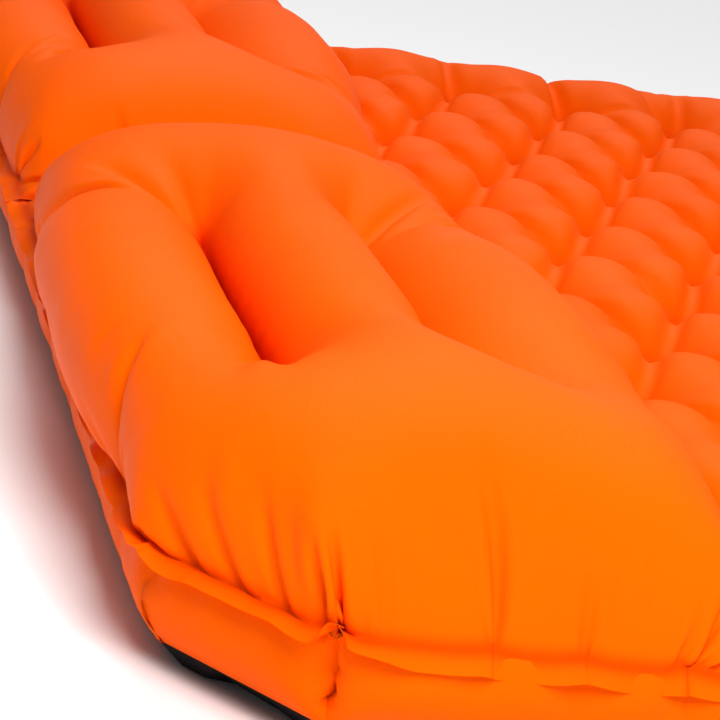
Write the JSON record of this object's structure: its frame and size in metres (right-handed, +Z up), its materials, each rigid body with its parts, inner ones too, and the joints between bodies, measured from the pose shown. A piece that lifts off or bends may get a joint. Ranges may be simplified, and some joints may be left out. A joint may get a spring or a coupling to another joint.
{
  "type": "inflatable sleeping pad",
  "caption": "Double inflatable camping sleeping pad with a dimpled air chamber, two built-in three-tube pillows at the head end and a hinged two-stage air valve.",
  "frame": {"origin": "under the middle of the pad, on the plane that it lies on", "axes": "+Z up, +X from the head end to the foot end, +Y across the pad towards the left of a person who lies on the back"},
  "size_m": [2, 1.3, 0.1563],
  "materials": {
    "orange_fabric": "satin",
    "black_fabric": "matte",
    "valve_plastic": "satin",
    "weld_ring": "satin",
    "silicone": "satin",
    "seal_rubber": "matte",
    "pin_steel": "satin"
  },
  "bodies": {
    "pad": {"bottom_sheet": "black_fabric", "top_sheet": "orange_fabric", "pillow_right": "orange_fabric", "pillow_left": "orange_fabric", "valve_flange": "weld_ring", "valve_housing": "valve_plastic", "door_hinge_pin": "pin_steel"},
    "door": {"deflate_door": "valve_plastic", "door_gasket": "seal_rubber", "cap_hinge_pin": "pin_steel"},
    "flap": {"flap_valve": "silicone", "flap_retainer": "valve_plastic"},
    "cap": {"inflate_cap": "valve_plastic", "cap_gasket": "seal_rubber"}
  },
  "joints": [
    {"name": "door_hinge", "type": "hinge", "parent": "pad", "child": "door", "pos_m": [0.9078, -0.54, 0.0857], "axis": [0, 1, 0], "range_deg": [0, 160]},
    {"name": "cap_hinge", "type": "hinge", "parent": "door", "child": "cap", "pos_m": [0.8652, -0.54, 0.0939], "axis": [0, -1, 0], "range_deg": [0, 150]},
    {"name": "flap_slide", "type": "slide", "parent": "door", "child": "flap", "axis": [0, 0, -1], "range_m": [0, 0.0025], "stiffness_N_per_m": 20, "springref_m": -0.0005}
  ]
}
